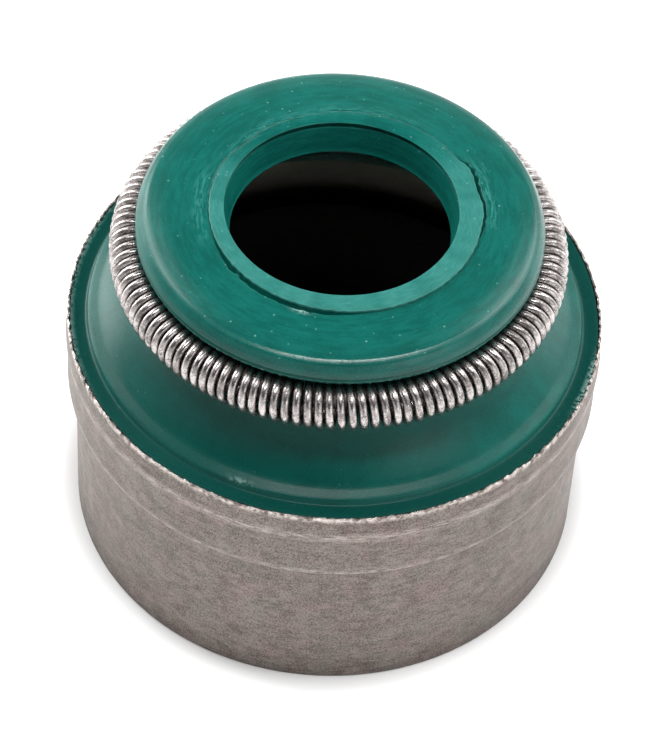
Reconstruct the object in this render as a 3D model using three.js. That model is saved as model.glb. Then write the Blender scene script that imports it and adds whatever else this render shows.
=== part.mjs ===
// A valve stem seal for a 7 mm stem, in millimetres, with +Z up. The origin is the centre of the base, on the axis.
// A drawn steel case grips the valve guide. The rubber body is bonded inside the case's top band, and its lip wipes
// the stem under the pull of a garter spring.
import * as THREE from 'three';

// Overall height, from the base of the case to the ring round the opening.
const height = 12.9;

// Steel case
const sleeveRadius = 8.06; // outside of the sleeve that holds the guide
const caseWall = 0.85; // thickness of the drawn sheet
const baseBevel = 0.08; // broken outer edge of the base
const bandFootRadius = 8.32; // outside of the wider top band, where it steps down to the sleeve
const bandWaistRadius = 8.31; // the band is slightly hollow between its two creases
const bandCreaseRadius = 8.35; // outside of the band at its upper crease
const rimRadius = 8.29; // outside of the sheared rim
const rimHeight = 8.27; // base to rim
const creaseDrop = 0.82; // rim to the upper crease
const bandDepth = 2.62; // rim to the foot of the band
const bandStep = 0.3; // height of the step below the band
const rimLand = 0.15; // width of the burr that stands at the rim
const rimBurr = 0.12; // height of the burr
const rimShear = 0.37; // rim to the lower end of the slope that the shear left inside it

// Rubber body: opening, lip and head
const openingRadius = 3.54; // ring opening, clear of the stem
const mouthDepth = 0.22; // height of the small groove below the opening's edge
const mouthRelief = 0.06; // depth of that groove
const wallTopRadius = 3.5; // oil side of the lip, at its top
const lipRadius = 3.32; // sealing edge, with no stem in it
const lipDepth = 1.05; // ring to sealing edge
const lipFace = 0.9; // height of the cone on the guide side of the lip
const ringRadius = 4.18; // outside of the raised ring
const ringRise = 0.1; // ring above the head's disc
const headRadius = 6.18; // outside of the head, at the bottom of its side
const headDraft = 0.03; // the side leans in by this much at its top
const headFall = 0.2; // fall of the disc from the ring to its edge
const headEdgeRound = 0.2; // rounding of the head's top edge
const headDepth = 0.92; // ring to the bottom of the head's side
const headLand = 0.16; // head's side above the spring's groove

// Rubber body: groove, bell and bond
const grooveFloorRadius = 5.53; // neck at the floor of the spring's groove
const neckRadius = 6.08; // neck below the groove
const neckDrop = 0.1; // straight neck below the groove
const bellHollowRadius = 6.25; // pulls the bell's outside inwards
const bellHollowRise = 0.74; // height of that pull above the shelf
const ridgeRadius = 7.62; // small ridge at the bell's foot
const ridgeRise = 0.14; // ridge above the shelf
const ridgeEdge = 0.05; // slope of the ridge's outer side
const shelfDrop = 0.04; // flat shelf below the rim
const bondDepth = 1.1; // rim to the underside of the bonded rubber
const throatRadius = 4.62; // inside of the neck
const throatDrop = 0.4; // straight throat below the lip's cone
const bellMouthLand = 0.5; // underside of the bonded rubber, from the case inwards
const bellMouthRise = 0.6; // height of the bell's flared mouth above that underside
const bondGap = 0.02; // bonded rubber to steel

// Garter spring
const coilDiameter = 1.44; // outside of the coil
const wireDiameter = 0.25;
const turnGap = 0.028; // gap between turns at the inside of the ring
const springGap = 0.02; // coil to groove

// Fineness of the round shapes
const roundSegments = 64;
const grooveSteps = 6;
const bellSteps = 5;
const edgeSteps = 3;
const coilSteps = 8; // steps in one turn of the wire
const wireSides = 4;

// Places that follow from the sizes
const headBottom = height - headDepth;
const grooveRadius = coilDiameter / 2 + springGap;
const springRadius = grooveFloorRadius + grooveRadius;
const springHeight = headBottom - headLand - grooveRadius;
const sleeveInside = sleeveRadius - caseWall;
const bandInside = bandFootRadius - caseWall;
const bandFoot = rimHeight - bandDepth;
const rimInside = rimRadius - rimLand;
const shelfHeight = rimHeight - shelfDrop;
const bondFoot = rimHeight - bondDepth;

// Points on a round stretch of a profile: centre, radius, first and last angle in degrees.
function arc(centreRadius, centreHeight, radius, first, last, steps) {
  const points = [];
  for (let i = 0; i <= steps; i++) {
    const angle = THREE.MathUtils.degToRad(first + (last - first) * i / steps);
    points.push([centreRadius + radius * Math.cos(angle), centreHeight + radius * Math.sin(angle)]);
  }
  return points;
}

// A closed outline of [radius, height] points, turned round the Z axis.
function turned(outline) {
  const points = [...outline, outline[0]].map(([radius, z]) => new THREE.Vector2(radius, z));
  const geometry = new THREE.LatheGeometry(points, roundSegments);
  geometry.rotateX(Math.PI / 2);
  return geometry;
}

// The case: base, sleeve, step, band with two creases, sheared rim, and the bare inside.
function caseGeometry() {
  return turned([
    [sleeveInside, 0],
    [sleeveRadius - baseBevel, 0],
    [sleeveRadius, baseBevel],
    [sleeveRadius, bandFoot - bandStep],
    [bandFootRadius, bandFoot],
    [bandWaistRadius, (bandFoot + rimHeight - creaseDrop) / 2],
    [bandCreaseRadius, rimHeight - creaseDrop],
    [rimRadius, rimHeight],
    [rimInside, rimHeight],
    [rimInside, rimHeight - rimBurr],
    [bandInside, rimHeight - rimShear],
    [bandInside, bandFoot],
    [sleeveInside, bandFoot - bandStep],
  ]);
}

// The bell's outside: a hollow curve from the ridge up to the neck.
function bellOutside() {
  const curve = new THREE.QuadraticBezierCurve(
    new THREE.Vector2(ridgeRadius, shelfHeight + ridgeRise),
    new THREE.Vector2(bellHollowRadius, shelfHeight + bellHollowRise),
    new THREE.Vector2(neckRadius, springHeight - grooveRadius - neckDrop),
  );
  return curve.getPoints(bellSteps).map((point) => [point.x, point.y]);
}

// The moulding: the hollow inside, the bond to the case, shelf, ridge, bell, groove, head, ring, opening and lip.
function rubberGeometry() {
  const grooveEdge = 65; // degrees from the coil's inmost point to the groove's edges
  const discEdge = height - ringRise - headFall;
  const lipHeight = height - lipDepth;
  const throatTop = lipHeight - lipFace;
  return turned([
    [lipRadius, lipHeight],
    [throatRadius, throatTop],
    [throatRadius, throatTop - throatDrop],
    [bandInside - bellMouthLand, bondFoot + bellMouthRise],
    [bandInside - bondGap, bondFoot],
    [bandInside - bondGap, rimHeight - rimShear + bondGap],
    [rimInside - bondGap, rimHeight - rimBurr + bondGap],
    [rimInside - bondGap, shelfHeight],
    [ridgeRadius + ridgeEdge, shelfHeight],
    ...bellOutside(),
    ...arc(springRadius, springHeight, grooveRadius, 180 + grooveEdge, 180 - grooveEdge, grooveSteps),
    [headRadius, headBottom],
    ...arc(headRadius - headDraft - headEdgeRound, discEdge - headEdgeRound, headEdgeRound, 0, 90, edgeSteps),
    [ringRadius, height - ringRise],
    [ringRadius, height],
    [openingRadius, height],
    [openingRadius, height - mouthDepth * 0.25],
    [openingRadius + mouthRelief, height - mouthDepth * 0.75],
    [wallTopRadius, height - mouthDepth],
  ]);
}

// The spring's wire winds round a ring and closes on itself. The outline of the wire is a polygon of the same area
// as its round section, with its flat sides towards the next turns.
function springGeometry() {
  const coilRadius = (coilDiameter - wireDiameter) / 2;
  const innerLength = 2 * Math.PI * (springRadius - coilRadius);
  const turns = Math.floor(innerLength / (wireDiameter + turnGap));
  const rings = turns * coilSteps;
  const sector = 2 * Math.PI / wireSides;
  const cornerRadius = wireDiameter / 2 * Math.sqrt(sector / Math.sin(sector));
  const positions = [];
  const indices = [];
  const centre = new THREE.Vector3();
  const outward = new THREE.Vector3();
  const along = new THREE.Vector3();
  const side = new THREE.Vector3();
  for (let i = 0; i < rings; i++) {
    const angle = 2 * Math.PI * i / rings;
    const wind = -2 * Math.PI * i / coilSteps;
    outward.set(Math.cos(angle) * Math.cos(wind), Math.sin(angle) * Math.cos(wind), Math.sin(wind));
    centre.set(springRadius * Math.cos(angle), springRadius * Math.sin(angle), springHeight);
    centre.addScaledVector(outward, coilRadius);
    along.set(Math.cos(angle) * Math.sin(wind), Math.sin(angle) * Math.sin(wind), -Math.cos(wind));
    along.multiplyScalar(coilRadius * turns);
    along.add(new THREE.Vector3(-Math.sin(angle), Math.cos(angle), 0).multiplyScalar(Math.hypot(centre.x, centre.y)));
    side.crossVectors(along, outward).normalize();
    for (let j = 0; j < wireSides; j++) {
      const turn = sector * (j + 0.5);
      const corner = centre.clone();
      corner.addScaledVector(outward, cornerRadius * Math.cos(turn));
      corner.addScaledVector(side, cornerRadius * Math.sin(turn));
      positions.push(corner.x, corner.y, corner.z);
      const a = i * wireSides + j;
      const b = i * wireSides + (j + 1) % wireSides;
      const c = (a + wireSides) % (rings * wireSides);
      const d = (b + wireSides) % (rings * wireSides);
      indices.push(a, b, c, b, d, c);
    }
  }
  const geometry = new THREE.BufferGeometry();
  geometry.setAttribute('position', new THREE.Float32BufferAttribute(positions, 3));
  geometry.setIndex(indices);
  geometry.computeVertexNormals();
  return geometry;
}

const bareSteel = new THREE.MeshStandardMaterial({ color: 0x9d968f, roughness: 0.55, metalness: 0.9 });
const greenRubber = new THREE.MeshStandardMaterial({ color: 0x1d766b, roughness: 0.45, metalness: 0 });
const springSteel = new THREE.MeshStandardMaterial({ color: 0xb5aeac, roughness: 0.3, metalness: 1 });

function piece(name, geometry, material) {
  const mesh = new THREE.Mesh(geometry, material);
  mesh.name = name;
  return mesh;
}

const group = new THREE.Group();
group.add(
  piece('steel_case', caseGeometry(), bareSteel),
  piece('rubber_body', rubberGeometry(), greenRubber),
  piece('garter_spring', springGeometry(), springSteel),
);

export default group;
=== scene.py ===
# Looks of the valve stem seal: the green rubber moulding, the bare steel case and the garter spring.
import bpy
import math
import numpy as np
from mathutils import Matrix, Vector


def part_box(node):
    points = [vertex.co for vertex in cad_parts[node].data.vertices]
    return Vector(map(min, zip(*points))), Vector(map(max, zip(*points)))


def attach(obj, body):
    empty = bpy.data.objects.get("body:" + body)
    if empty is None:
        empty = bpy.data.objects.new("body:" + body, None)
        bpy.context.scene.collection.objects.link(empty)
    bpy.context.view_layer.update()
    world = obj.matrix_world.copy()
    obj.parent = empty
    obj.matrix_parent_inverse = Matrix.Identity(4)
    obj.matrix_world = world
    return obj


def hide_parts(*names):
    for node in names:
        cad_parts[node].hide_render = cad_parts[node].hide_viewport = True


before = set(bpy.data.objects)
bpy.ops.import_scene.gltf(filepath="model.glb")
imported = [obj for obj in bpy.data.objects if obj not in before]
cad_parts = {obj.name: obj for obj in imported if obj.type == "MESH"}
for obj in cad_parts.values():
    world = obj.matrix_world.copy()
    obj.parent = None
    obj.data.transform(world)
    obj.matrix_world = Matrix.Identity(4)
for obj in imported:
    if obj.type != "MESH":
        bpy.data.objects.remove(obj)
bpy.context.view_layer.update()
scene = bpy.context.scene
mm = 0.001
whole = 9.0  # longer than any side of an outline, so that the side stays in one piece
arcStep = 22  # degrees, the most that one step of an arc turns
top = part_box("rubber_body")[1].z / mm  # the ring round the opening
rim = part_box("steel_case")[1].z / mm  # the sheared rim of the case
shear = (0.14, 0.4)  # rim to the upper and lower ends of the slope inside it


# A colour given as it looks on a screen, 0 to 255, made linear.
def screenColour(red, green, blue):
    c = np.array([red, green, blue]) / 255
    linear = np.where(c <= 0.04045, c / 12.92, ((c + 0.055) / 1.055) ** 2.4)
    return (*[float(v) for v in linear], 1.0)


# Camera
view = dict(
    aim=(0.1355, 0.0, 5.121),  # mm, the point at the middle of the picture
    distance=107.92,  # mm
    elevation=49.575,  # degrees above the horizon
    roll=3.872,  # degrees
    lens=163.2,
    sensor=36.0,
)


# The camera looks along +Y and down; its own axes are turned about the line of sight by the roll.
def makeCamera():
    e, roll = math.radians(view["elevation"]), math.radians(view["roll"])
    right = Vector((1, 0, 0))
    forward = Vector((0, math.cos(e), -math.sin(e)))
    up = Vector((0, math.sin(e), math.cos(e)))
    rolledRight = right * math.cos(roll) + up * math.sin(roll)
    rolledUp = up * math.cos(roll) - right * math.sin(roll)
    data = bpy.data.cameras.new("camera")
    data.lens = view["lens"]
    data.sensor_width = view["sensor"]
    data.clip_start = 0.001
    data.clip_end = 10
    cam = bpy.data.objects.new("camera", data)
    turn = Matrix((rolledRight, rolledUp, -forward)).transposed().to_4x4()
    place = (Vector(view["aim"]) - forward * view["distance"]) * mm
    cam.matrix_world = Matrix.Translation(place) @ turn
    scene.collection.objects.link(cam)
    scene.camera = cam


makeCamera()
print("camera made")


# Mesh tools
# A grid of points, rows by columns, closed on itself both ways, as a smooth mesh. Faces join each point to
# its neighbours in the next row and column.
def closedGrid(name, x, y, z, attributes=None):
    rows, columns = x.shape
    index = np.arange(rows * columns).reshape(rows, columns)
    nextRow = np.roll(index, -1, 0)
    nextColumn = np.roll(index, -1, 1)
    nextBoth = np.roll(nextRow, -1, 1)
    faces = np.stack([index, nextColumn, nextBoth, nextRow], -1).reshape(-1, 4)
    points = np.stack([x, y, z], -1).reshape(-1, 3) * mm
    mesh = bpy.data.meshes.new(name)
    mesh.vertices.add(len(points))
    mesh.vertices.foreach_set("co", points.astype(np.float32).ravel())
    mesh.loops.add(faces.size)
    mesh.loops.foreach_set("vertex_index", faces.astype(np.int32).ravel())
    mesh.polygons.add(len(faces))
    mesh.polygons.foreach_set("loop_start", np.arange(0, faces.size, 4, dtype=np.int32))
    mesh.update(calc_edges=True)
    mesh.polygons.foreach_set("use_smooth", np.ones(len(faces), bool))
    for key, values in (attributes or {}).items():
        layer = mesh.attributes.new(key, "FLOAT", "POINT")
        layer.data.foreach_set("value", values.astype(np.float32).ravel())
    piece = bpy.data.objects.new(name, mesh)
    scene.collection.objects.link(piece)
    return piece


# An outline through corners (radius, height, fillet, widest step): each corner becomes an arc that touches
# both of its sides, and the straight stretches between arcs are cut into even steps.
def outlineOf(corners):
    count = len(corners)
    starts, ends, arcs = [], [], []
    for i in range(count):
        before = np.array(corners[i - 1][:2])
        here = np.array(corners[i][:2])
        after = np.array(corners[(i + 1) % count][:2])
        inward, outward = here - before, after - here
        inward = inward / np.linalg.norm(inward)
        outward = outward / np.linalg.norm(outward)
        bend = math.acos(np.clip(inward @ outward, -1, 1))
        fillet = corners[i][2]
        reach = fillet * math.tan(bend / 2)
        side = np.sign(inward[0] * outward[1] - inward[1] * outward[0])
        normal = side * np.array([-inward[1], inward[0]])
        centre = here - inward * reach + normal * fillet
        steps = max(1, int(math.ceil(math.degrees(bend) / arcStep))) if fillet > 0 else 0
        angles = side * np.linspace(0, bend, steps + 1)
        c, s = np.cos(angles), np.sin(angles)
        spoke = -normal * fillet
        arcs.append(centre + np.stack([c * spoke[0] - s * spoke[1], s * spoke[0] + c * spoke[1]], -1))
        starts.append(arcs[-1][0])
        ends.append(arcs[-1][-1])
    points = []
    for i in range(count):
        points.append(arcs[i])
        gap = starts[(i + 1) % count] - ends[i]
        pieces = max(1, int(math.ceil(np.linalg.norm(gap) / corners[i][3])))
        share = np.arange(1, pieces)[:, None] / pieces
        points.append(ends[i] + gap * share)
    return np.concatenate(points)


# A smooth bump: 1 at the middle, falling as a bell curve, measured round the circle in degrees.
def bellAt(degrees, middle, width):
    away = (degrees - middle + 180) % 360 - 180
    return np.exp(-(away / width) ** 2)


# The same across a band of radii or heights, in millimetres.
def bellAcross(place, middle, width):
    return np.exp(-((place - middle) / width) ** 2)


# 1 inside a stretch of the circle and 0 outside it, with soft ends of the given width.
def stretch(degrees, first, last, soft):
    middle, half = (first + last) / 2, (last - first) / 2
    away = np.abs((degrees - middle + 180) % 360 - 180)
    t = np.clip((half + soft / 2 - away) / soft, 0, 1)
    return t * t * (3 - 2 * t)


# Rough but repeatable noise round the circle: sines of whole numbers of waves, with seeded sizes and phases,
# so it closes on itself.
def ripple(degrees, lowest, highest, count, seed):
    random = np.random.default_rng(seed)
    waves = random.integers(lowest, highest, count)
    phases = random.uniform(0, 2 * np.pi, count)
    total = np.zeros_like(degrees)
    for wave, phase in zip(waves, phases):
        total = total + np.sin(np.radians(degrees) * wave + phase)
    return total / math.sqrt(count / 2)


# Node tools
# A material and its shader, with the place on the piece in millimetres.
def newMaterial(name):
    material = bpy.data.materials.new(name)
    material.use_nodes = True
    tree = material.node_tree
    shader = tree.nodes["Principled BSDF"]
    coordinates = tree.nodes.new("ShaderNodeTexCoord")
    inMillimetres = tree.nodes.new("ShaderNodeVectorMath")
    inMillimetres.operation = "SCALE"
    inMillimetres.inputs["Scale"].default_value = 1 / mm
    tree.links.new(coordinates.outputs["Object"], inMillimetres.inputs[0])
    return material, tree, shader, inMillimetres.outputs[0]


# Gives a socket a link or a plain value.
def put(tree, socket, value):
    if isinstance(value, bpy.types.NodeSocket):
        tree.links.new(value, socket)
    else:
        socket.default_value = value


# Two values put together by one operation, such as ADD or MULTIPLY.
def combine(tree, operation, first, second=0.0, clamp=False):
    node = tree.nodes.new("ShaderNodeMath")
    node.operation = operation
    node.use_clamp = clamp
    put(tree, node.inputs[0], first)
    put(tree, node.inputs[1], second)
    return node.outputs[0]


# Several values added up, each with its weight.
def weighted(tree, *parts):
    total = None
    for value, weight in parts:
        part = combine(tree, "MULTIPLY", value, weight)
        total = part if total is None else combine(tree, "ADD", total, part)
    return total


# Cloudy noise, about 0 to 1: scale is about how many waves fit in one unit of the coordinates.
def noise(tree, vector, scale, detail=2.0, roughness=0.5):
    node = tree.nodes.new("ShaderNodeTexNoise")
    put(tree, node.inputs["Vector"], vector)
    node.inputs["Scale"].default_value = scale
    node.inputs["Detail"].default_value = detail
    node.inputs["Roughness"].default_value = roughness
    return node.outputs["Fac"]


# Stretches the part of a value between low and high over a new range, with soft ends.
def spread(tree, value, low, high, newLow=0.0, newHigh=1.0):
    node = tree.nodes.new("ShaderNodeMapRange")
    node.interpolation_type = "SMOOTHSTEP"
    put(tree, node.inputs["Value"], value)
    node.inputs["From Min"].default_value = low
    node.inputs["From Max"].default_value = high
    node.inputs["To Min"].default_value = newLow
    node.inputs["To Max"].default_value = newHigh
    return node.outputs["Result"]


# The first colour at share 0 and the second at share 1.
def blendColours(tree, share, first, second, kind="MIX"):
    node = tree.nodes.new("ShaderNodeMix")
    node.data_type = "RGBA"
    node.blend_type = kind
    put(tree, node.inputs["Factor"], share)
    put(tree, node.inputs[6], first)
    put(tree, node.inputs[7], second)
    return node.outputs[2]


# Fine relief on a surface: distance is its height in millimetres.
def bump(tree, shader, height, distance, strength=1.0):
    node = tree.nodes.new("ShaderNodeBump")
    node.inputs["Strength"].default_value = strength
    node.inputs["Distance"].default_value = distance * mm
    put(tree, node.inputs["Height"], height)
    tree.links.new(node.outputs["Normal"], shader.inputs["Normal"])


# A mask that the mesh carries.
def attribute(tree, name):
    node = tree.nodes.new("ShaderNodeAttribute")
    node.attribute_name = name
    return node.outputs["Fac"]


# Coordinates for rings and streaks round the axis: the direction from the axis times one factor, and the
# distance from the axis plus the height times another, so that a noise is drawn out round the circle.
def roundCoordinates(tree, position, around, across):
    parts = tree.nodes.new("ShaderNodeSeparateXYZ")
    tree.links.new(position, parts.inputs[0])
    flat = tree.nodes.new("ShaderNodeCombineXYZ")
    tree.links.new(parts.outputs[0], flat.inputs[0])
    tree.links.new(parts.outputs[1], flat.inputs[1])
    length = tree.nodes.new("ShaderNodeVectorMath")
    length.operation = "LENGTH"
    tree.links.new(flat.outputs[0], length.inputs[0])
    direction = tree.nodes.new("ShaderNodeVectorMath")
    direction.operation = "NORMALIZE"
    tree.links.new(flat.outputs[0], direction.inputs[0])
    turned = tree.nodes.new("ShaderNodeVectorMath")
    turned.operation = "SCALE"
    turned.inputs["Scale"].default_value = around
    tree.links.new(direction.outputs[0], turned.inputs[0])
    both = combine(tree, "ADD", length.outputs["Value"], parts.outputs[2])
    rise = tree.nodes.new("ShaderNodeCombineXYZ")
    put(tree, rise.inputs[2], combine(tree, "MULTIPLY", both, across))
    total = tree.nodes.new("ShaderNodeVectorMath")
    total.operation = "ADD"
    tree.links.new(turned.outputs[0], total.inputs[0])
    tree.links.new(rise.outputs[0], total.inputs[1])
    return total.outputs[0]


# Green rubber
rubber = dict(
    segments=720,
    lip=(3.32, 1.05),  # radius, depth below the ring
    throat=(4.57, 1.95, 2.35),  # radius, depths of its ends
    mouth=(6.97, 0.5),  # radius, rim to the flared mouth
    bond=(7.45, 1.1),  # radius, rim to its foot
    shelf=0.04,  # below the rim
    shelfEdge=8.195,
    ridge=(7.65, 0.14),  # radius, height above the shelf
    ridgeFoot=7.71,
    bellFoot=(7.44, 0.18),  # the ridge's inner slope meets the bell: radius, height above the shelf
    hollow=(6.52, 9.1),  # pulls the bell inwards
    neck=(6.08, 10.24),
    groove=(6.27, 11.08, 0.74),  # the spring's ring, its height, and the groove's radius
    head=(6.17, 0.92),  # radius, ring to its lower edge
    headFray=0.012,  # roughness of that edge
    headCurve=((0.03, 0.5), (0.16, 0.3)),  # two bends of its side: inside its radius, depth
    parting=(0.77, 0.022, 0.03, 0.06),  # mould line: depth, its groove, its raised edges, half width
    shoulder=(5.85, 0.215),  # radius and depth where the head's top starts to round over
    discStep=(5.36, 0.135),  # where the head's top starts to fall off
    ring=4.11,  # outside of the raised ring
    ringOffset=(0.13, -25),  # how far it sits off the axis, and which way in degrees
    opening=3.54,
    relief=(3.67, 0.18, 0.03),  # the groove under the opening's edge: radius and depths
    wallTop=(3.555, 0.23),
    creep=(0.06, 0.045),  # the shelf's edge creeps this far out and up
    creepSpots=((0.5, -13, 4), (0.9, -20, 1.5), (0.7, -25, 3)),  # share, angle, width
    creepStretches=((0.35, 150, 200, 20), (0.3, -60, 0, 20)),  # share, first and last angle, softness
    colour=screenColour(20, 112, 102),
    deep=screenColour(14, 96, 87),
    worn=screenColour(60, 146, 137),
    # Painted shade: the shelf and the near side of the bell are darkened towards this colour.
    shelfPaintedShade=screenColour(5, 70, 63),
    dust=screenColour(100, 176, 166),
    pale=screenColour(172, 214, 205),
    speckScale=4.0,
    gloss=0.36,
    # The torn ring. Angles are in degrees, 0 to the right and -90 at the near side. A wave of its edge has
    # its height, angle and width.
    waves=((0.05, 4, 7), (-0.03, 14, 4), (0.08, 27, 6), (-0.06, 38, 6), (-0.05, 112, 25), (-0.1, 141, 9)),
    ringFray=0.006,  # fine waves on the same edge
    tearLeft=(-150, -88, 26),  # first and last angle, softness
    tearLeftSize=(0.125, 0.24),  # width and depth
    tearRight=(-9, 33, 7),
    tearRightSize=(0.1, 0.26),
    tearPeak=(20, 11),  # it gapes most here: angle, width
    untorn=(0.012, 0.005),  # width and depth where only a crease is left
    bridge=(-135, 1.1, 0.75),  # a strand across the left slit: angle, width, share that it fills
    ringRise=(0.01, 0.068),  # ring above the disc at the far side, and what the near side adds
    ringFar=(10, 185, 70),  # first and last angle, softness
    tearCorner=0.014,  # rounding of the disc's edge and of the ring's
    # Marks. A smear has its share, first and last angle, softness, distance from the ring's edge and width.
    smears=((0.9, -4, 30, 14, 0.28, 0.13), (0.8, -196, -158, 14, 0.3, 0.16), (0.55, 62, 150, 30, 0.12, 0.2)),
    unworn=(38, 158, 50),  # the ring is scuffed but for this: first and last angle, softness
    flake=(-103, 3.2, 4.3, 0.06),  # angle, width, radius, width
    paintedGlint=(-109, 2.4, 7.58, 0.05),  # the same, on the ridge, where it is a painted highlight
    tufts=((0.8, -13, 4), (0.95, -21, 3.5)),  # share, angle, width
    tuftStretch=(0.35, 150, 205, 25),  # share, first and last angle, softness
    tuftRing=(8.21, 0.05),  # radius, width
    shelfStart=(7.66, 0.08),  # where the painted shade on the shelf starts: radius, width of its soft edge
    bellPaintedShade=(0.68, -165, -70, 70),  # painted shade on the near side of the bell: share, first and last angle, softness
    matteParts=(1.0, 2.0, -0.9),  # bell, wall of the lip, and the head's rounded edge, which is glossier
    matteSide=(0.35, 0.9, 150, 240, 40),  # head's side, what its left adds, first and last angle, softness
)


# The ring's outer edge: a circle a little off the axis, with waves where it is torn.
def ringEdgeAt(degrees):
    off, way = rubber["ringOffset"]
    edge = rubber["ring"] + off * np.cos(np.radians(degrees - way))
    for height, middle, width in rubber["waves"]:
        edge = edge + height * bellAt(degrees, middle, width)
    return edge + rubber["ringFray"] * ripple(degrees, 25, 110, 8, 5)


# The tear beside the ring, by angle: its width and depth. One stretch lies at the lower left, a second at
# the right, and elsewhere only a crease is left.
def tearAt(degrees):
    left = stretch(degrees, *rubber["tearLeft"]) * (1 + 0.1 * ripple(degrees, 20, 60, 5, 3))
    right = stretch(degrees, *rubber["tearRight"]) * (1 + 0.2 * ripple(degrees, 30, 90, 6, 4))
    right = right * (0.65 + 0.5 * bellAt(degrees, *rubber["tearPeak"]))
    angle, wide, share = rubber["bridge"]
    left = left * (1 - share * bellAt(degrees, angle, wide))
    sizes = zip(rubber["untorn"], rubber["tearLeftSize"], rubber["tearRightSize"])
    width, depth = [crease + atLeft * left + atRight * right for crease, atLeft, atRight in sizes]
    return width, depth


# How far the ring stands above the disc, by angle: most at the near side, and hardly at all at the far side.
def ringRiseAt(degrees):
    low, more = rubber["ringRise"]
    return low + more * (1 - stretch(degrees, *rubber["ringFar"]))


# The top of the head near the opening, as rows of (radius, height) by angle, from the disc's step to the
# opening's edge: the disc, the lip of the tear, its walls and floor, the side of the ring and the flat ring.
def headTopRows(degrees):
    edge = ringEdgeAt(degrees)
    width, depth = tearAt(degrees)
    disc = top - ringRiseAt(degrees)
    lip = edge + width
    stepRadius, stepDepth = rubber["discStep"]
    rows = []
    for share in (0.8, 0.6, 0.42, 0.28, 0.17, 0.08):
        rows.append((lip + (stepRadius - lip) * share, disc + (top - stepDepth - disc) * share))
    corner = rubber["tearCorner"]
    level = np.full_like(edge, top)
    rows += [
        (lip + corner, disc),
        (lip, disc - corner),
        (edge + width * 0.8, disc - corner - depth * 0.8),
        (edge + width * 0.5, disc - corner - depth),
        (edge + width * 0.2, disc - corner - depth * 0.8),
        (edge, disc - corner),
        (edge - 0.004, level - corner),
        (edge - 0.01, level - 0.004),
        (edge - 0.03, level),
        ((edge + rubber["opening"]) / 2, level),
    ]
    return np.stack([row[0] for row in rows]), np.stack([row[1] for row in rows])


# The moulding is an outline turned round the axis, but for the rows by the ring, which follow its torn
# edge. The bell is a curve from its foot to the neck, pulled in by the hollow. The head's lower edge is
# frayed, and the shelf's edge creeps over the rim in places.
def makeRubber():
    shelf = rim - rubber["shelf"]
    foot = np.array([rubber["bellFoot"][0], shelf + rubber["bellFoot"][1]])
    hollow, neck = np.array(rubber["hollow"]), np.array(rubber["neck"])
    t = np.linspace(0, 1, 13)[1:-1, None]
    bell = foot * (1 - t) ** 2 + 2 * hollow * t * (1 - t) + neck * t ** 2
    centre, height, radius = rubber["groove"]
    angles = np.radians(np.linspace(245, 115, 9))
    groove = np.stack([centre + radius * np.cos(angles), height + radius * np.sin(angles)], -1)
    headRadius = rubber["head"][0]
    lowCurve, highCurve = rubber["headCurve"]
    line, sink, proud, half = rubber["parting"]
    outside = outlineOf([
        (rubber["lip"][0], top - rubber["lip"][1], 0.03, whole),
        (rubber["throat"][0], top - rubber["throat"][1], 0.1, whole),
        (rubber["throat"][0], top - rubber["throat"][2], 0.1, whole),
        (rubber["mouth"][0], rim - rubber["mouth"][1], 0.1, whole),
        (rubber["bond"][0], rim - rubber["bond"][1], 0.02, whole),
        (rubber["bond"][0], rim - shear[1], 0.0, whole),
        (rubber["shelfEdge"] - 0.02, rim - shear[0], 0.0, whole),
        (rubber["shelfEdge"], shelf, 0.02, 0.16),
        (rubber["ridgeFoot"], shelf, 0.09, 0.1),
        (rubber["ridge"][0], shelf + rubber["ridge"][1], 0.1, 0.1),
        *[(p[0], p[1], 0.0, whole) for p in bell],
        (neck[0], neck[1], 0.0, whole),
        *[(p[0], p[1], 0.0, whole) for p in groove],
        (headRadius, top - rubber["head"][1], 0.03, 0.1),
        (headRadius + proud, top - line - half, 0.03, whole),
        (headRadius - sink, top - line, 0.012, whole),
        (headRadius + proud, top - line + half, 0.03, whole),
        (headRadius - lowCurve[0], top - lowCurve[1], 0.2, 0.2),
        (headRadius - highCurve[0], top - highCurve[1], 0.16, 0.2),
        (rubber["shoulder"][0], top - rubber["shoulder"][1], 0.15, 0.2),
        (rubber["discStep"][0], top - rubber["discStep"][1], 0.0, whole),
    ])
    inside = outlineOf([
        (3.8, top, 0.0, whole),
        (rubber["opening"], top, 0.015, whole),
        (rubber["opening"], top - rubber["relief"][2], 0.01, whole),
        (rubber["relief"][0], top - rubber["relief"][2] - 0.02, 0.02, whole),
        (rubber["relief"][0], top - rubber["relief"][1], 0.03, whole),
        (rubber["wallTop"][0], top - rubber["wallTop"][1], 0.012, 0.25),
        (rubber["lip"][0], top - rubber["lip"][1] + 0.03, 0.0, whole),
        (rubber["lip"][0] + 0.4, top - 0.6, 0.0, whole),
    ])[1:-2]
    degrees = np.arange(rubber["segments"]) * 360 / rubber["segments"]
    topR, topZ = headTopRows(degrees)
    across = np.ones(len(degrees))
    r = np.concatenate([outside[:, :1] * across, topR, inside[:, :1] * across])
    z = np.concatenate([outside[:, 1:] * across, topZ, inside[:, 1:] * across])
    onHeadFoot = (np.abs(z - top + rubber["head"][1]) < 0.03) & (r > headRadius - 0.08)
    z = z - onHeadFoot * rubber["headFray"] * np.clip(ripple(degrees, 100, 340, 30, 17), 0, 2)[None, :]
    onShelfEdge = (np.abs(r - rubber["shelfEdge"]) < 0.03) & (np.abs(z - shelf) < 0.03)
    flash = sum(share * bellAt(degrees, *spot) for share, *spot in rubber["creepSpots"])
    flash = flash + sum(share * stretch(degrees, *part) for share, *part in rubber["creepStretches"])
    flash = flash * np.clip(0.6 + 0.6 * ripple(degrees, 120, 330, 24, 91), 0, 2)[None, :]
    out, up = rubber["creep"]
    r = r + onShelfEdge * out * flash
    z = z + onShelfEdge * up * flash
    print("rubber rows", r.shape)
    return r, z, degrees
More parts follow.
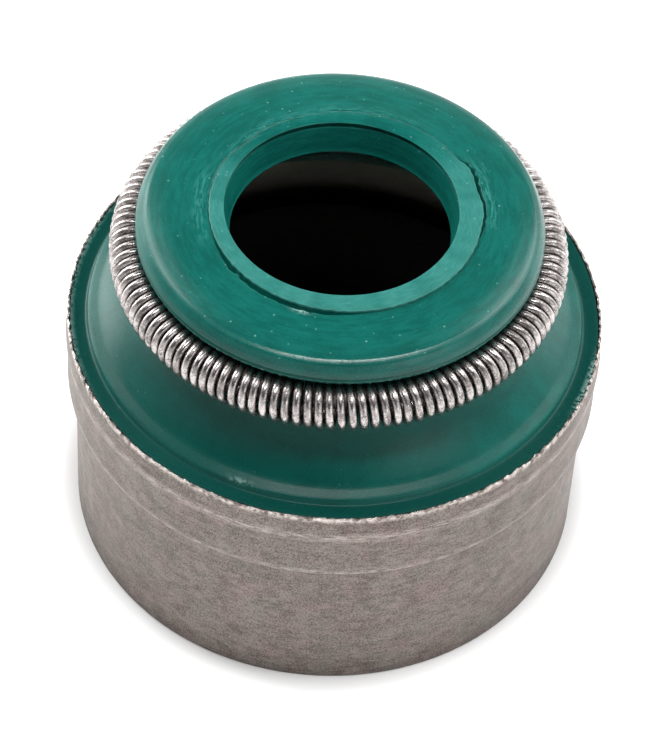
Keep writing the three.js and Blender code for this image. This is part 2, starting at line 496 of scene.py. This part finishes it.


# Masks on the rubber: the scuffed ring, the smears beside it, dust, painted shade on the shelf and the near
# side of the bell, how matte each part is, and the pale chips at the flake and the rim, with a painted
# highlight on the ridge. Below 0, a part is glossier than the rest.
def rubberMasks(r, z, degrees):
    a = np.repeat(degrees[None, :], len(r), 0)
    edge = ringEdgeAt(degrees)[None, :]
    onTop = z > top - 0.35
    bell = (r > 5.6) & (z < top - 2.6)
    inner = (r < 3.7) & (z < top - 0.02)
    corner = (r > 5.75) & (z > top - 0.28)
    side = (r > 5.75) & (z <= top - 0.28) & (z > top - 1.0)

    ringTop = (z > top - 0.02) & (r <= edge)
    scuff = ringTop * (1 - stretch(a, *rubber["unworn"])) * (0.85 + 0.1 * ripple(a, 5, 40, 6, 8))

    smear = np.zeros_like(r)
    for share, first, last, soft, out, width in rubber["smears"]:
        smear = smear + onTop * share * stretch(a, first, last, soft) * bellAcross(r, edge + out, width)

    # Painted shade: a darker colour on the shelf and on the near side of the bell, where shade falls.
    start, soft = rubber["shelfStart"]
    share, first, last, shadeSoft = rubber["bellPaintedShade"]
    shelf = np.clip((r - start) / soft, 0, 1) * (z < rim + 0.1)
    shelf = np.maximum(shelf, share * bell * stretch(a, first, last, shadeSoft))

    onBell, onLip, onEdge = rubber["matteParts"]
    least, more, first, last, soft = rubber["matteSide"]
    matte = onBell * bell + onLip * inner + onEdge * corner
    matte = matte + side * (least + more * stretch(a, first, last, soft))

    way, reach, radius, width = rubber["flake"]
    pale = onTop * bellAt(a, way, reach) * bellAcross(r, radius, width)
    # Painted highlight: a pale spot on the ridge stands in for a glint.
    way, reach, radius, width = rubber["paintedGlint"]
    pale = pale + 0.8 * bell * bellAt(a, way, reach) * bellAcross(r, radius, width)
    share, first, last, soft = rubber["tuftStretch"]
    tufts = sum(part * bellAt(a, *spot) for part, *spot in rubber["tufts"])
    tufts = tufts + share * stretch(a, first, last, soft)
    pale = pale + bell * tufts * bellAcross(r, *rubber["tuftRing"])

    return {
        "pale": pale,
        "scuff": np.clip(scuff, 0, 1),
        "smear": smear,
        "dusty": np.where(onTop, 0.8, 0.1),
        "shelf": shelf,
        "matte": matte,
    }


# Green rubber, with faint streaks round the axis left by the mould, painted shade on the shelf and the near
# side of the bell, pale scuffs, strokes, chips and a painted highlight where the masks say, and specks of
# dust.
def rubberMaterial():
    material, tree, shader, position = newMaterial("moulded green rubber")
    rings = roundCoordinates(tree, position, 1.6, 2.2)
    streaks = noise(tree, rings, 4.2, 4.0, 0.6)
    cloud = noise(tree, position, 0.55, 3.0, 0.55)
    grain = noise(tree, position, 20.0, 3.0, 0.65)
    tone = weighted(tree, (streaks, 0.45), (cloud, 0.3), (grain, 0.25))
    base = blendColours(tree, spread(tree, tone, 0.41, 0.59), rubber["deep"], rubber["colour"])
    # Painted shade on the shelf and the near side of the bell.
    shelf = combine(tree, "MULTIPLY", attribute(tree, "shelf"), 0.85)
    base = blendColours(tree, shelf, base, rubber["shelfPaintedShade"])
    wear = attribute(tree, "scuff")
    worn = spread(tree, noise(tree, rings, 9.0, 3.0), 0.25, 0.7, 0.55, 1.0)
    broken = combine(tree, "MULTIPLY", wear, worn)
    strokes = noise(tree, roundCoordinates(tree, position, 5.0, 7.0), 2.2, 3.0, 0.6)
    strokes = combine(tree, "MULTIPLY", attribute(tree, "smear"), spread(tree, strokes, 0.42, 0.62))
    broken = combine(tree, "MAXIMUM", broken, strokes)
    base = blendColours(tree, broken, base, rubber["worn"])
    # Pale chips at the flake and the rim, and a painted highlight on the ridge.
    chipsAndGlint = spread(tree, noise(tree, position, 10.0, 2.0), 0.38, 0.56)
    chipsAndGlint = combine(tree, "MULTIPLY", attribute(tree, "pale"), chipsAndGlint, True)
    base = blendColours(tree, chipsAndGlint, base, rubber["pale"])
    specks = tree.nodes.new("ShaderNodeTexVoronoi")
    specks.inputs["Scale"].default_value = rubber["speckScale"]
    tree.links.new(position, specks.inputs["Vector"])
    chance = tree.nodes.new("ShaderNodeSeparateColor")
    tree.links.new(specks.outputs["Color"], chance.inputs[0])
    near = spread(tree, specks.outputs["Distance"], 0.06, 0.17, 1.0, 0.0)
    dots = combine(tree, "MULTIPLY", near, spread(tree, chance.outputs[0], 0.45, 1.0))
    dusty = combine(tree, "MULTIPLY", dots, attribute(tree, "dusty"))
    base = blendColours(tree, dusty, base, rubber["dust"])
    tree.links.new(base, shader.inputs["Base Color"])
    matte = attribute(tree, "matte")
    rough = spread(tree, grain, 0.3, 0.7, 0.18, 0.26)
    rough = combine(tree, "ADD", rough, weighted(tree, (wear, 0.2), (matte, 0.08)))
    tree.links.new(rough, shader.inputs["Roughness"])
    lost = combine(tree, "MULTIPLY", matte, rubber["gloss"] * 0.46)
    tree.links.new(combine(tree, "SUBTRACT", rubber["gloss"], lost), shader.inputs["Specular IOR Level"])
    relief = combine(tree, "ADD", grain, combine(tree, "MULTIPLY", dots, 1.5))
    bump(tree, shader, relief, 0.004)
    return material


r, z, degrees = makeRubber()
angle = np.radians(degrees)[None, :]
masks = rubberMasks(r, z, degrees)
moulding = closedGrid("rubber_moulding", r * np.cos(angle), r * np.sin(angle), z, masks)
moulding.data.materials.append(rubberMaterial())
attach(moulding, "root")
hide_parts("rubber_body")
print("rubber made", len(moulding.data.polygons))


# Steel case
case = dict(
    segments=1440,
    sleeve=8.06,
    inside=7.21,
    bandInside=7.47,
    foot=(8.32, 2.62),  # radius, rim to the foot of the band
    waist=8.3,
    crease=(8.35, 0.82),
    rimRadius=8.29,
    fray=(0.004, 0.006, 0.008),  # the rim's roughness: row by row, shared by its rows, in long waves
    frayOut=0.007,  # the shared part, away from the axis
    torn=((0.9, -48, 12, 30), (0.7, 150, 215, 30)),  # rougher by a share, first and last angle, softness
    rimLand=0.07,
    step=0.3,
    bevel=0.06,
    colour=screenColour(142, 133, 129),
    dark=screenColour(84, 77, 73),
    # Lighter bare steel on the sheared rim with painted glints, and painted highlights along the creases.
    bright=screenColour(224, 214, 208),
    pit=screenColour(66, 61, 59),
    innerColour=screenColour(186, 173, 160),
    # Painted shade: the inside darkens towards this colour with its depth.
    innerPaintedShade=screenColour(12, 11, 10),
    cool=screenColour(242, 250, 240),
    warm=screenColour(255, 241, 238),
)


# The case is an outline turned round the axis. The rim's points are roughened by noise of many waves, as a
# sheared edge is, and most of all at the right and the left. Its masks are the rim, for its lighter bare
# steel and painted glints, the two creases, for their painted highlights, and how far below the rim a point
# of the inside lies, for the painted shade there.
def makeCase():
    foot, crease = case["foot"], case["crease"]
    middle = rim - (foot[1] + crease[1]) / 2
    land = case["rimRadius"] - case["rimLand"]
    outline = outlineOf([
        (case["inside"], 0.0, 0.05, 0.4),
        (case["sleeve"], 0.0, case["bevel"], 0.6),
        (case["sleeve"], rim - foot[1] - case["step"], 0.3, 0.6),
        (foot[0], rim - foot[1], 0.14, 0.2),
        (case["waist"], middle, 1.0, 0.4),
        (crease[0], rim - crease[1], 0.3, 0.25),
        (case["rimRadius"], rim, 0.03, 0.03),
        (land, rim, 0.03, 0.04),
        (land, rim - shear[0], 0.0, whole),
        (case["bandInside"], rim - shear[1], 0.0, whole),
        (case["bandInside"], rim - foot[1], 0.1, 1.0),
        (case["inside"], rim - foot[1] - case["step"], 0.1, 1.0),
    ])
    degrees = np.arange(case["segments"]) * 360 / case["segments"]
    r = outline[:, :1] * np.ones(len(degrees))
    z = outline[:, 1:] * np.ones(len(degrees))
    onRim = np.clip((z - rim + 0.12) / 0.1, 0, 1) * (r > land - 0.02)
    rough = np.stack([ripple(degrees, 60, 330, 40, 20 + i) for i in range(len(r))])
    shared = ripple(degrees, 40, 260, 40, 71)[None, :]
    wide = ripple(degrees, 4, 30, 8, 70)[None, :]
    torn = 1 + sum(share * stretch(degrees, *part) for share, *part in case["torn"])
    byRow, byRim, byWave = case["fray"]
    z = z + onRim * torn * (byRow * rough + byRim * shared + byWave * wide)
    r = r + onRim * torn * (byRow * np.roll(rough, 3, 0) + case["frayOut"] * np.roll(shared, 40, 1))
    # Painted highlight: bands along the two creases, where their edges catch the light.
    lines = bellAcross(z, rim - crease[1], 0.09) + bellAcross(z, rim - foot[1], 0.12)
    lines = lines * (r > case["sleeve"] + 0.1)
    inside = np.where(r < land - 0.02, rim - z, 0.0) * (r < case["sleeve"] - 0.2)
    print("case rows", r.shape)
    return r, z, degrees, {"rim": onRim, "crease": lines, "inside": inside}


# Bare steel: a fine speckle, wider mottling with a little colour in it, soft streaks round the axis, pits,
# painted highlights along the creases broken into scratch-like dashes, lighter bare steel with painted
# glints on the rim, and an inside that darkens with its depth as painted shade.
def caseMaterial():
    material, tree, shader, position = newMaterial("drawn bare steel")
    shader.inputs["Metallic"].default_value = 1.0
    mottle = noise(tree, position, 1.6, 4.0, 0.6)
    speckle = noise(tree, position, 21.0, 2.0, 0.7)
    drawn = noise(tree, roundCoordinates(tree, position, 5.0, 2.4), 3.0, 3.0, 0.6)
    tone = weighted(tree, (mottle, 0.19), (speckle, 0.62), (drawn, 0.19))
    base = blendColours(tree, spread(tree, tone, 0.38, 0.62), case["dark"], case["colour"])
    tint = spread(tree, noise(tree, position, 0.9, 3.0, 0.6), 0.35, 0.65)
    tint = blendColours(tree, tint, case["cool"], case["warm"])
    base = blendColours(tree, 0.5, base, tint, "MULTIPLY")
    pits = spread(tree, noise(tree, position, 12.0, 2.0, 0.6), 0.32, 0.4, 1.0, 0.0)
    base = blendColours(tree, combine(tree, "MULTIPLY", pits, 0.45), base, case["pit"])
    hair = noise(tree, roundCoordinates(tree, position, 9.0, 14.0), 2.6, 3.0, 0.6)
    # Painted highlight along the creases, broken into scratch-like dashes.
    scratchyCreaseHighlight = combine(tree, "MULTIPLY", attribute(tree, "crease"), spread(tree, hair, 0.42, 0.62))
    base = blendColours(tree, combine(tree, "MULTIPLY", scratchyCreaseHighlight, 0.42), base, case["bright"])
    # Painted shade: the inside fades to near black with its depth below the rim.
    depth = attribute(tree, "inside")
    inner = blendColours(tree, spread(tree, depth, 1.2, 2.5), case["innerColour"], case["innerPaintedShade"])
    base = blendColours(tree, spread(tree, depth, 0.0, 0.05), base, inner)
    # The sheared rim: lighter bare steel, brightened further as painted glints, and smoother.
    bare = spread(tree, noise(tree, position, 5.0, 3.0, 0.6), 0.35, 0.6)
    sheared = combine(tree, "MULTIPLY", attribute(tree, "rim"), bare)
    base = blendColours(tree, combine(tree, "MULTIPLY", sheared, 0.8), base, case["bright"])
    tree.links.new(base, shader.inputs["Base Color"])
    rough = spread(tree, speckle, 0.3, 0.7, 0.44, 0.58)
    rough = combine(tree, "SUBTRACT", rough, combine(tree, "MULTIPLY", sheared, 0.2))
    tree.links.new(rough, shader.inputs["Roughness"])
    relief = combine(tree, "ADD", speckle, combine(tree, "MULTIPLY", mottle, 1.5))
    bump(tree, shader, relief, 0.018)
    return material


r, z, degrees, masks = makeCase()
angle = np.radians(degrees)[None, :]
shell = closedGrid("drawn_case", r * np.cos(angle), r * np.sin(angle), z, masks)
shell.data.materials.append(caseMaterial())
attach(shell, "root")
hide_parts("steel_case")
print("case made", len(shell.data.polygons))


# Garter spring
spring = dict(
    turns=129,
    stepsPerTurn=28,
    sides=10,
    ring=6.27,
    height=11.08,
    coil=0.595,  # axis of the coil to the middle of the wire
    wire=0.131,
    sway=0.16,  # how unevenly the turns lie
    colour=screenColour(192, 186, 184),
    tarnish=screenColour(70, 62, 58),
)


# The wire's middle runs round a coil whose axis is a circle: as the angle goes once round, the coil winds
# back once for each turn. The wire's skin is a circle about that line, in the plane of the coil's spoke and
# the line's side.
def makeSpring():
    count = spring["turns"] * spring["stepsPerTurn"]
    t = np.arange(count) / count
    along = 2 * np.pi * t
    sway = spring["sway"] * ripple(np.degrees(along), 5, 40, 6, 31)
    wind = sway - 2 * np.pi * spring["turns"] * t
    spoke = np.stack([np.cos(along) * np.cos(wind), np.sin(along) * np.cos(wind), np.sin(wind)], -1)
    height = np.full(count, spring["height"])
    ring = np.stack([np.cos(along) * spring["ring"], np.sin(along) * spring["ring"], height], -1)
    middle = ring + spoke * spring["coil"]
    tangent = np.roll(middle, -1, 0) - np.roll(middle, 1, 0)
    side = np.cross(tangent, spoke)
    side /= np.linalg.norm(side, axis=1)[:, None]
    turn = 2 * np.pi * np.arange(spring["sides"]) / spring["sides"]
    skin = spoke[:, None] * np.cos(turn)[None, :, None] + side[:, None] * np.sin(turn)[None, :, None]
    points = middle[:, None] + skin * spring["wire"]
    return points[..., 0].T, points[..., 1].T, points[..., 2].T


# Spring wire: bright, with dark speckled grime where the turns were rubbed.
def springMaterial():
    material, tree, shader, position = newMaterial("drawn spring wire")
    shader.inputs["Metallic"].default_value = 1.0
    patches = noise(tree, position, 2.6, 3.0, 0.6)
    fine = noise(tree, position, 26.0, 3.0, 0.7)
    tone = weighted(tree, (patches, 0.45), (fine, 0.55))
    grime = spread(tree, tone, 0.43, 0.6)
    base = blendColours(tree, combine(tree, "MULTIPLY", grime, 0.8), spring["colour"], spring["tarnish"])
    tree.links.new(base, shader.inputs["Base Color"])
    tree.links.new(spread(tree, tone, 0.4, 0.62, 0.2, 0.42), shader.inputs["Roughness"])
    bump(tree, shader, fine, 0.003)
    return material


coils = closedGrid("wound_spring", *makeSpring())
coils.data.materials.append(springMaterial())
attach(coils, "root")
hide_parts("garter_spring")
print("spring made", len(coils.data.polygons))


# Floor, world and lamps
studio = dict(
    floor=400.0,  # mm, half width
    floorColour=screenColour(242, 242, 242),
    nearGlow=(7.6, 9.8, 0.95),  # mm from the axis, first and last, and the floor's own white there; fading towards the seal, the glow paints a contact shadow round its foot
    farGlow=(14.0, 45.0, 1.0),
    wallTop=(20.0, 37.0),  # degrees: the white wall fades into the dark ceiling
    fill=0.02,  # what the room gives besides the lamps
    distance=110.0,  # mm, lamps from the seal
    middle=8.0,  # mm, the height that they aim at
)
# Lamps as soft boxes: azimuth and elevation in degrees, width and height in mm, and brightness, where 1 is
# a white wall. Azimuth 0 is to the right and 90 behind.
lamps = dict(
    leftBackLow=(145, 12, 60, 60, 7.0),
    leftBack=(144, 42, 60, 60, 3.8),
    leftHigh=(180, 50, 60, 60, 0.5),
    rightHigh=(0, 50, 60, 60, 1.2),
    rightBack=(36, 44, 60, 60, 3.8),
    rightBackLow=(35, 8, 60, 60, 1.7),
    frontRight=(315, 25, 60, 60, 1.5),
    overhead=(285, 80, 80, 14, 16.5),
)


# 1 for the rays that show the background, seen directly, mirrored or through glass, and 0 for the light that
# falls on surfaces.
def seenShare(tree):
    path = tree.nodes.new("ShaderNodeLightPath")
    seen = combine(tree, "MAXIMUM", path.outputs["Is Camera Ray"], path.outputs["Is Glossy Ray"])
    return combine(tree, "MAXIMUM", seen, path.outputs["Is Transmission Ray"])


# A pale floor that looks nearly white, but for the seal's own shadow and a painted contact shadow where its
# glow fades out towards the seal's foot. Under the seal it has no glow.
def makeFloor():
    half = studio["floor"] * mm
    mesh = bpy.data.meshes.new("floor")
    corners = [(-half, -half, 0), (half, -half, 0), (half, half, 0), (-half, half, 0)]
    mesh.from_pydata(corners, [], [(0, 1, 2, 3)])
    floor = bpy.data.objects.new("floor", mesh)
    scene.collection.objects.link(floor)
    material, tree, shader, position = newMaterial("pale floor")
    shader.inputs["Base Color"].default_value = studio["floorColour"]
    shader.inputs["Roughness"].default_value = 0.9
    shader.inputs["Specular IOR Level"].default_value = 0.0
    away = tree.nodes.new("ShaderNodeVectorMath")
    away.operation = "LENGTH"
    tree.links.new(position, away.inputs[0])
    # Painted contact shadow: the glow fades out towards the seal's foot.
    start, end, level = studio["nearGlow"]
    near = spread(tree, away.outputs["Value"], start, end, 0.0, level)
    start, end, full = studio["farGlow"]
    far = spread(tree, away.outputs["Value"], start, end, 0.0, full - level)
    glow = combine(tree, "MULTIPLY", combine(tree, "ADD", near, far), seenShare(tree))
    shader.inputs["Emission Color"].default_value = (1, 1, 1, 1)
    tree.links.new(glow, shader.inputs["Emission Strength"])
    mesh.materials.append(material)


# The room has a white wall all round and a dark ceiling. The wall is white where it is seen or mirrored, and
# gives little light of its own, because the lamps light the seal.
def makeWorld():
    world = bpy.data.worlds.new("studio")
    scene.world = world
    world.use_nodes = True
    tree = world.node_tree
    background = tree.nodes["Background"]
    coordinates = tree.nodes.new("ShaderNodeTexCoord")
    parts = tree.nodes.new("ShaderNodeSeparateXYZ")
    tree.links.new(coordinates.outputs["Generated"], parts.inputs[0])
    low, high = [math.sin(math.radians(a)) for a in studio["wallTop"]]
    wall = combine(tree, "MULTIPLY", spread(tree, parts.outputs[2], low, high, 1.0, 0.0), seenShare(tree))
    background.inputs["Color"].default_value = (1, 1, 1, 1)
    tree.links.new(combine(tree, "MAXIMUM", wall, studio["fill"]), background.inputs["Strength"])


# An area lamp's power is its brightness times its area times pi.
def makeLamp(name, azimuth, elevation, width, height, brightness):
    a, e = math.radians(azimuth), math.radians(elevation)
    data = bpy.data.lights.new(name, "AREA")
    data.shape = "RECTANGLE"
    data.size, data.size_y = width * mm, height * mm
    data.energy = math.pi * brightness * data.size * data.size_y
    lamp = bpy.data.objects.new(name, data)
    away = Vector((math.cos(a) * math.cos(e), math.sin(a) * math.cos(e), math.sin(e)))
    place = (away * studio["distance"] + Vector((0, 0, studio["middle"]))) * mm
    lamp.matrix_world = Matrix.Translation(place) @ away.to_track_quat("Z", "Y").to_matrix().to_4x4()
    scene.collection.objects.link(lamp)


makeFloor()
makeWorld()
for name, values in lamps.items():
    makeLamp(name, *values)
scene.view_settings.view_transform = "Standard"
print("studio made")
